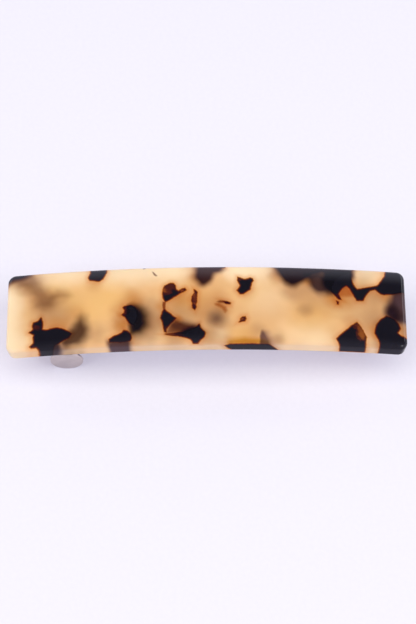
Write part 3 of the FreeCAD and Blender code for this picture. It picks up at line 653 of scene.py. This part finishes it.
def deep_flakes(graph, at, colour):
    """The colour seen through the blurred flakes, one after another, with warm hazy outlines."""
    haze = graph.math("SUBTRACT", graph.noise(at.mm, waves=0.3, detail=1.0, offset=17.0), 0.5)
    for index, flake in enumerate(DEEP_FLAKES):
        blur = flake["blur"]
        field = flake_field(graph, f"deep_flake_{index}", at.soft, at.height, flake, DEEP_ROUNDING)
        field = graph.math("MULTIPLY_ADD", haze, HAZE_SHARE * blur, field)
        if "crisp" in flake:
            blur = graph.math("MULTIPLY", graph.step(at.x, *flake["crisp"]), blur)
            blur = graph.math("ADD", blur, CRISP_BLUR)
        cover = graph.step(field, start=blur, end=graph.math("MULTIPLY", blur, -1.0))
        warm = graph.math("MULTIPLY", cover, flake["cover"])
        middle = graph.math("MULTIPLY", cover, warm)
        colour = graph.mix(warm, colour, over_honey(flake["warm"]), "MULTIPLY")
        colour = graph.mix(middle, colour, over_honey(flake["tone"]), "MULTIPLY")
    return colour


def brown_flakes(graph, at, colour):
    """The colour seen through the clear brown flakes."""
    for index, flake in enumerate(BROWN_FLAKES):
        field = flake_field(graph, f"brown_flake_{index}", at.crisp, at.height, flake)
        cover = graph.step(field, start=flake["blur"], end=-flake["blur"])
        cover = graph.math("MULTIPLY", cover, flake["cover"])
        colour = graph.mix(cover, colour, linear(*flake["tone"]), "MULTIPLY")
    return colour


def black_flakes(graph, at, clouds, colour):
    """The colour seen through the black flakes, amber round the rims and red-brown where they are thin."""
    fields = [
        flake_field(graph, f"black_flake_{index}", at.crisp, at.height, flake)
        for index, flake in enumerate(BLACK_FLAKES)
    ]
    for index, flake in enumerate(EDGE_FLAKES):
        field = flake_field(graph, f"edge_flake_{index}", at.edge, at.height, flake)
        behind = graph.math("SUBTRACT", at.y, EDGE_FLAKES_END_Y)
        fields.append(graph.math("SMOOTH_MAX", field, behind, EDGE_END_ROUNDING))
    black = fields[0]
    for field in fields[1:]:
        black = graph.math("MINIMUM", black, field)

    halo = graph.step(graph.math("MULTIPLY_ADD", clouds, HALO_DRIFT, black), start=2.0, end=0.1)
    halo = graph.math("MULTIPLY", halo, HALO_SHARE)
    colour = graph.mix(halo, colour, linear(*AMBER_HALO), "MULTIPLY")

    thin = spot_field(graph, "spots_thin", at.thin, THIN)
    depth = graph.math("SUBTRACT", RIM_OUTSIDE, black)
    depth = graph.math("MINIMUM", depth, graph.math("MULTIPLY_ADD", thin, -THINNING, 1.0))
    stops = [(0.0, linear(255, 255, 255))] + [(start, over_honey(tone)) for start, tone in BLACK_DEPTHS]
    colour = graph.mix(1.0, colour, graph.ramp(depth, stops), "MULTIPLY")

    # a black flake's middle is never darker than the blackest tone, and nothing else is much darker
    in_middle = graph.step(depth, start=0.4, end=0.7)
    least = graph.math("MULTIPLY_ADD", in_middle, 1 - BLACKEST_SHARE, BLACKEST_SHARE)
    return graph.mix(least, colour, linear(*BLACKEST), "LIGHTEN")


def tortoiseshell():
    """Honey acetate with black, brown and deep flakes, polished but for its satin long sides."""
    graph = Graph("acetate_tortoiseshell")
    at = pattern_places(graph)
    clouds = graph.noise(at.mm, waves=0.08, detail=2.0, offset=4.0)
    side = graph.step(graph.math("ABSOLUTE", at.y), start=10.0, end=10.9)
    colour = honey_sheet(graph, at, clouds, side)
    colour = deep_flakes(graph, at, colour)
    colour = brown_flakes(graph, at, colour)
    colour = black_flakes(graph, at, clouds, colour)

    # a painted reflection of the bright room, bluish white, by the long edges
    far = graph.math("MULTIPLY", graph.step(at.y, start=6.6, end=10.8), FAR_REFLECTION_SHARE)
    near = graph.math("MULTIPLY", graph.step(at.y, start=-8.2, end=-10.8), NEAR_REFLECTION_SHARE)
    colour = graph.mix(far, colour, linear(*FAR_REFLECTION))
    colour = graph.mix(near, colour, linear(*NEAR_REFLECTION))

    # a faint orange peel and the finest scratches
    peel = graph.noise(at.mm, waves=0.22, detail=1.0, offset=2.0)
    along_x = graph.vector("MULTIPLY", at.mm, SCRATCH_STRETCH)
    scratches = graph.noise(along_x, waves=1.3, detail=2.0, offset=5.0)
    normal = graph.bump(peel, distance=0.02 * MM, strength=0.6)
    normal = graph.bump(scratches, distance=0.0008 * MM, strength=0.5, normal=normal)
    rough = graph.math("ADD", graph.ramp(scratches, POLISH), graph.math("MULTIPLY", side, SATIN))
    return graph.finish(
        Base_Color=colour, Roughness=rough, Normal=normal, IOR=1.49,
        Specular_IOR_Level=graph.math("MULTIPLY_ADD", side, SIDE_SHINE - FACE_SHINE, FACE_SHINE),
        Subsurface_Weight=0.12, Subsurface_Radius=(1.0, 0.5, 0.22), Subsurface_Scale=1.2 * MM,
    )


# ---------------------------------------------------------------- the clip's metals

def plated_metal(name, tint, roughness, grain):
    """Satin nickel plate, with a drawn grain along X of a given strength, stains and pits."""
    graph = Graph(name)
    mm = graph.scaled(graph.node("TexCoord").outputs["Object"], 1 / MM)
    along_x = graph.vector("MULTIPLY", mm, GRAIN_STRETCH)
    drawn = graph.noise(along_x, waves=1.4, detail=4.0)
    stains = graph.noise(mm, waves=0.35, detail=4.0, offset=7.0)
    pits = graph.noise(mm, waves=4.5, detail=3.0, offset=3.0)

    lighter = tuple(min(1.0, value * STAIN_TONE) for value in tint[:3]) + (1.0,)
    darker = tuple(value * PIT_TONE for value in tint[:3]) + (1.0,)
    colour = graph.mix(graph.step(stains, start=0.35, end=0.7), lighter, tint)
    pitted = graph.math("MULTIPLY", graph.step(pits, start=0.58, end=0.8), PIT_SHARE)
    colour = graph.mix(pitted, colour, darker)
    colour = graph.mix(graph.math("MULTIPLY", drawn, GRAIN_SHARE * grain), colour, darker)

    rough = graph.math("MULTIPLY", drawn, GRAIN_ROUGHNESS * grain)
    rough = graph.math("ADD", rough, roughness - PIT_ROUGHNESS / 2)
    rough = graph.math("ADD", rough, graph.math("MULTIPLY", pits, PIT_ROUGHNESS))
    normal = graph.bump(drawn, distance=0.006 * MM, strength=0.5 * grain)
    normal = graph.bump(pits, distance=0.003 * MM, strength=0.5, normal=normal)
    return graph.finish(Base_Color=colour, Metallic=1.0, Roughness=rough, Normal=normal)


# ---------------------------------------------------------------- pieces

def plate_outline(inset):
    """The plate's rounded outline in the flat, moved in by an inset, always with the same points."""
    corner = max(PLATE_CORNER - inset, 0.0)
    centre_x = PLATE_HALF_LENGTH - inset - corner
    centre_y = PLATE_HALF_WIDTH - inset - corner
    centres = [Vector((x * centre_x, y * centre_y)) for x, y in ((1, 1), (-1, 1), (-1, -1), (1, -1))]
    points = []
    for quarter, centre in enumerate(centres):
        for step in range(CORNER_STEPS + 1):
            angle = math.pi / 2 * (quarter + step / CORNER_STEPS)
            outward = corner * Vector((math.cos(angle), math.sin(angle)))
            points.append(centre + outward)
        start = points[-1]
        end = centres[(quarter + 1) % len(centres)] + outward
        steps = (LENGTH_STEPS, WIDTH_STEPS)[quarter % 2]
        points += [start.lerp(end, step / steps) for step in range(1, steps)]
    return points


def bent(point, height):
    """A point of the flat sheet, at a height above its back, on the arched plate."""
    end = math.asin(PLATE_HALF_LENGTH / FRONT_RADIUS)
    angle = point.x / PLATE_HALF_LENGTH * end
    radius = BACK_RADIUS + height
    return Vector((radius * math.sin(angle), point.y, ARCH_CENTRE_Z + radius * math.cos(angle)))


def edge_rounding(radius, base, up):
    """The (inset, height) of rings round a rounded edge, from the face at a base height to the side."""
    angles = [math.pi / 2 * step / ROUNDING_STEPS for step in range(ROUNDING_STEPS + 1)]
    return [(radius * (1 - math.sin(a)), base + up * radius * (1 - math.cos(a))) for a in angles]


def plate_skin():
    """The polished plate, with rounded edges, as rings from the middle of its back to its front's."""
    rings = [(inset, 0.0) for inset in RING_INSETS]
    rings += edge_rounding(BACK_ROUNDING, 0.0, 1)
    rings += [(0.0, PLATE_THICKNESS * share) for share in WALL_SHARES]
    rings += reversed(edge_rounding(FRONT_ROUNDING, PLATE_THICKNESS, -1))
    rings += [(inset, PLATE_THICKNESS) for inset in reversed(RING_INSETS)]

    mesh = bmesh.new()
    made = [
        [mesh.verts.new(bent(point, height)) for point in plate_outline(inset)]
        for inset, height in rings
    ]
    for lower, upper in zip(made, made[1:]):
        count = len(lower)
        for index in range(count):
            after = (index + 1) % count
            mesh.faces.new((lower[index], lower[after], upper[after], upper[index]))
    bmesh.ops.remove_doubles(mesh, verts=mesh.verts, dist=SAME_POINT)
    bmesh.ops.recalc_face_normals(mesh, faces=mesh.faces)

    data = bpy.data.meshes.new("plate_skin")
    mesh.to_mesh(data)
    mesh.free()
    data.shade_smooth()
    piece = bpy.data.objects.new("plate_skin", data)
    bpy.context.scene.collection.objects.link(piece)
    return piece


def dress(node, material, bevel):
    """A CAD node's own material, and a small bevel on its sheared or turned edges."""
    piece = frame["nodes"][node]
    piece.data.materials.clear()
    piece.data.materials.append(material)
    piece.data.shade_smooth()
    weld = piece.modifiers.new("weld", "WELD")
    weld.merge_threshold = WELD_REACH
    rounding = piece.modifiers.new("edges", "BEVEL")
    rounding.width = bevel
    rounding.segments = BEVEL_SEGMENTS
    rounding.limit_method = "ANGLE"
    rounding.angle_limit = BEVEL_FROM
    rounding.harden_normals = True
    rounding.use_clamp_overlap = True


# ---------------------------------------------------------------- stage, light and camera

def floor():
    """A sheet of frosted clear acrylic over a pale backdrop, so that an opened arm still shows."""
    graph = Graph("floor_frosted")
    mm = graph.scaled(graph.node("TexCoord").outputs["Object"], 1 / MM)
    frost = graph.noise(mm, waves=0.9, detail=5.0)
    colour = graph.mix(frost, *(linear(*tone) for tone in FLOOR_TONES))
    fading = graph.step(graph.vector("LENGTH", mm), start=FLOOR_GONE_BY, end=FLOOR_FADES_FROM)
    material = graph.finish(
        Base_Color=colour, Roughness=0.85, Specular_IOR_Level=0.15,
        Alpha=graph.math("MULTIPLY", fading, FLOOR_COVER),
        Normal=graph.bump(frost, distance=0.02 * MM, strength=0.3),
    )
    bpy.ops.mesh.primitive_plane_add(size=FLOOR_SIZE)
    piece = bpy.context.object
    piece.name = "floor"
    piece.data.materials.append(material)


def world():
    """A pale room: bright round the horizon, dim overhead, so that the polish stays dark on top."""
    made = bpy.data.worlds.new("studio")
    bpy.context.scene.world = made
    made.use_nodes = True
    tree = made.node_tree
    background = tree.nodes["Background"]
    direction = tree.nodes.new("ShaderNodeTexCoord")
    parts = tree.nodes.new("ShaderNodeSeparateXYZ")
    ramp = tree.nodes.new("ShaderNodeValToRGB")
    for element, (position, colour) in zip(ramp.color_ramp.elements, ROOM_COLOURS):
        element.color = colour
        element.position = position
    tree.links.new(direction.outputs["Generated"], parts.inputs[0])
    tree.links.new(parts.outputs["Z"], ramp.inputs[0])
    tree.links.new(ramp.outputs[0], background.inputs[0])
    background.inputs["Strength"].default_value = ROOM_STRENGTH


def area_light(name, place, size, power, colour=(1.0, 1.0, 1.0), shine=True):
    """A soft light, of a width and depth, aimed at the barrette. Without shine no reflection shows it."""
    data = bpy.data.lights.new(name, "AREA")
    data.shape = "RECTANGLE"
    data.size, data.size_y = size
    data.energy = power
    data.color = colour
    lamp = bpy.data.objects.new(name, data)
    lamp.location = place
    lamp.visible_glossy = shine
    lamp.rotation_euler = (CAMERA_TARGET - Vector(place)).to_track_quat("-Z", "Y").to_euler()
    bpy.context.scene.collection.objects.link(lamp)


def camera():
    """The camera, raised over the front and rolled a little about the line to its target."""
    back = Vector((0, -math.cos(CAMERA_ELEVATION), math.sin(CAMERA_ELEVATION)))
    level = Vector((1, 0, 0))
    upright = back.cross(level)
    right = level * math.cos(CAMERA_ROLL) + upright * math.sin(CAMERA_ROLL)
    up = upright * math.cos(CAMERA_ROLL) - level * math.sin(CAMERA_ROLL)
    data = bpy.data.cameras.new("camera")
    data.lens = CAMERA_LENS
    data.clip_start, data.clip_end = CAMERA_CLIP
    made = bpy.data.objects.new("camera", data)
    turned = Matrix((right, up, back)).transposed().to_4x4()
    made.matrix_world = Matrix.Translation(CAMERA_TARGET + back * CAMERA_DISTANCE) @ turned
    bpy.context.scene.collection.objects.link(made)
    bpy.context.scene.camera = made


plate = plate_skin()
plate.data.materials.append(tortoiseshell())
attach(plate, "base")
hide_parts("plate")

for name, metal in METALS.items():
    material = plated_metal(name, linear(*metal["tone"]), metal["roughness"], metal["grain"])
    for node in metal["nodes"]:
        dress(node, material, metal["bevel"])

floor()
world()
for light in LIGHTS:
    area_light(**light)
camera()
bpy.context.scene.view_settings.view_transform = "Standard"
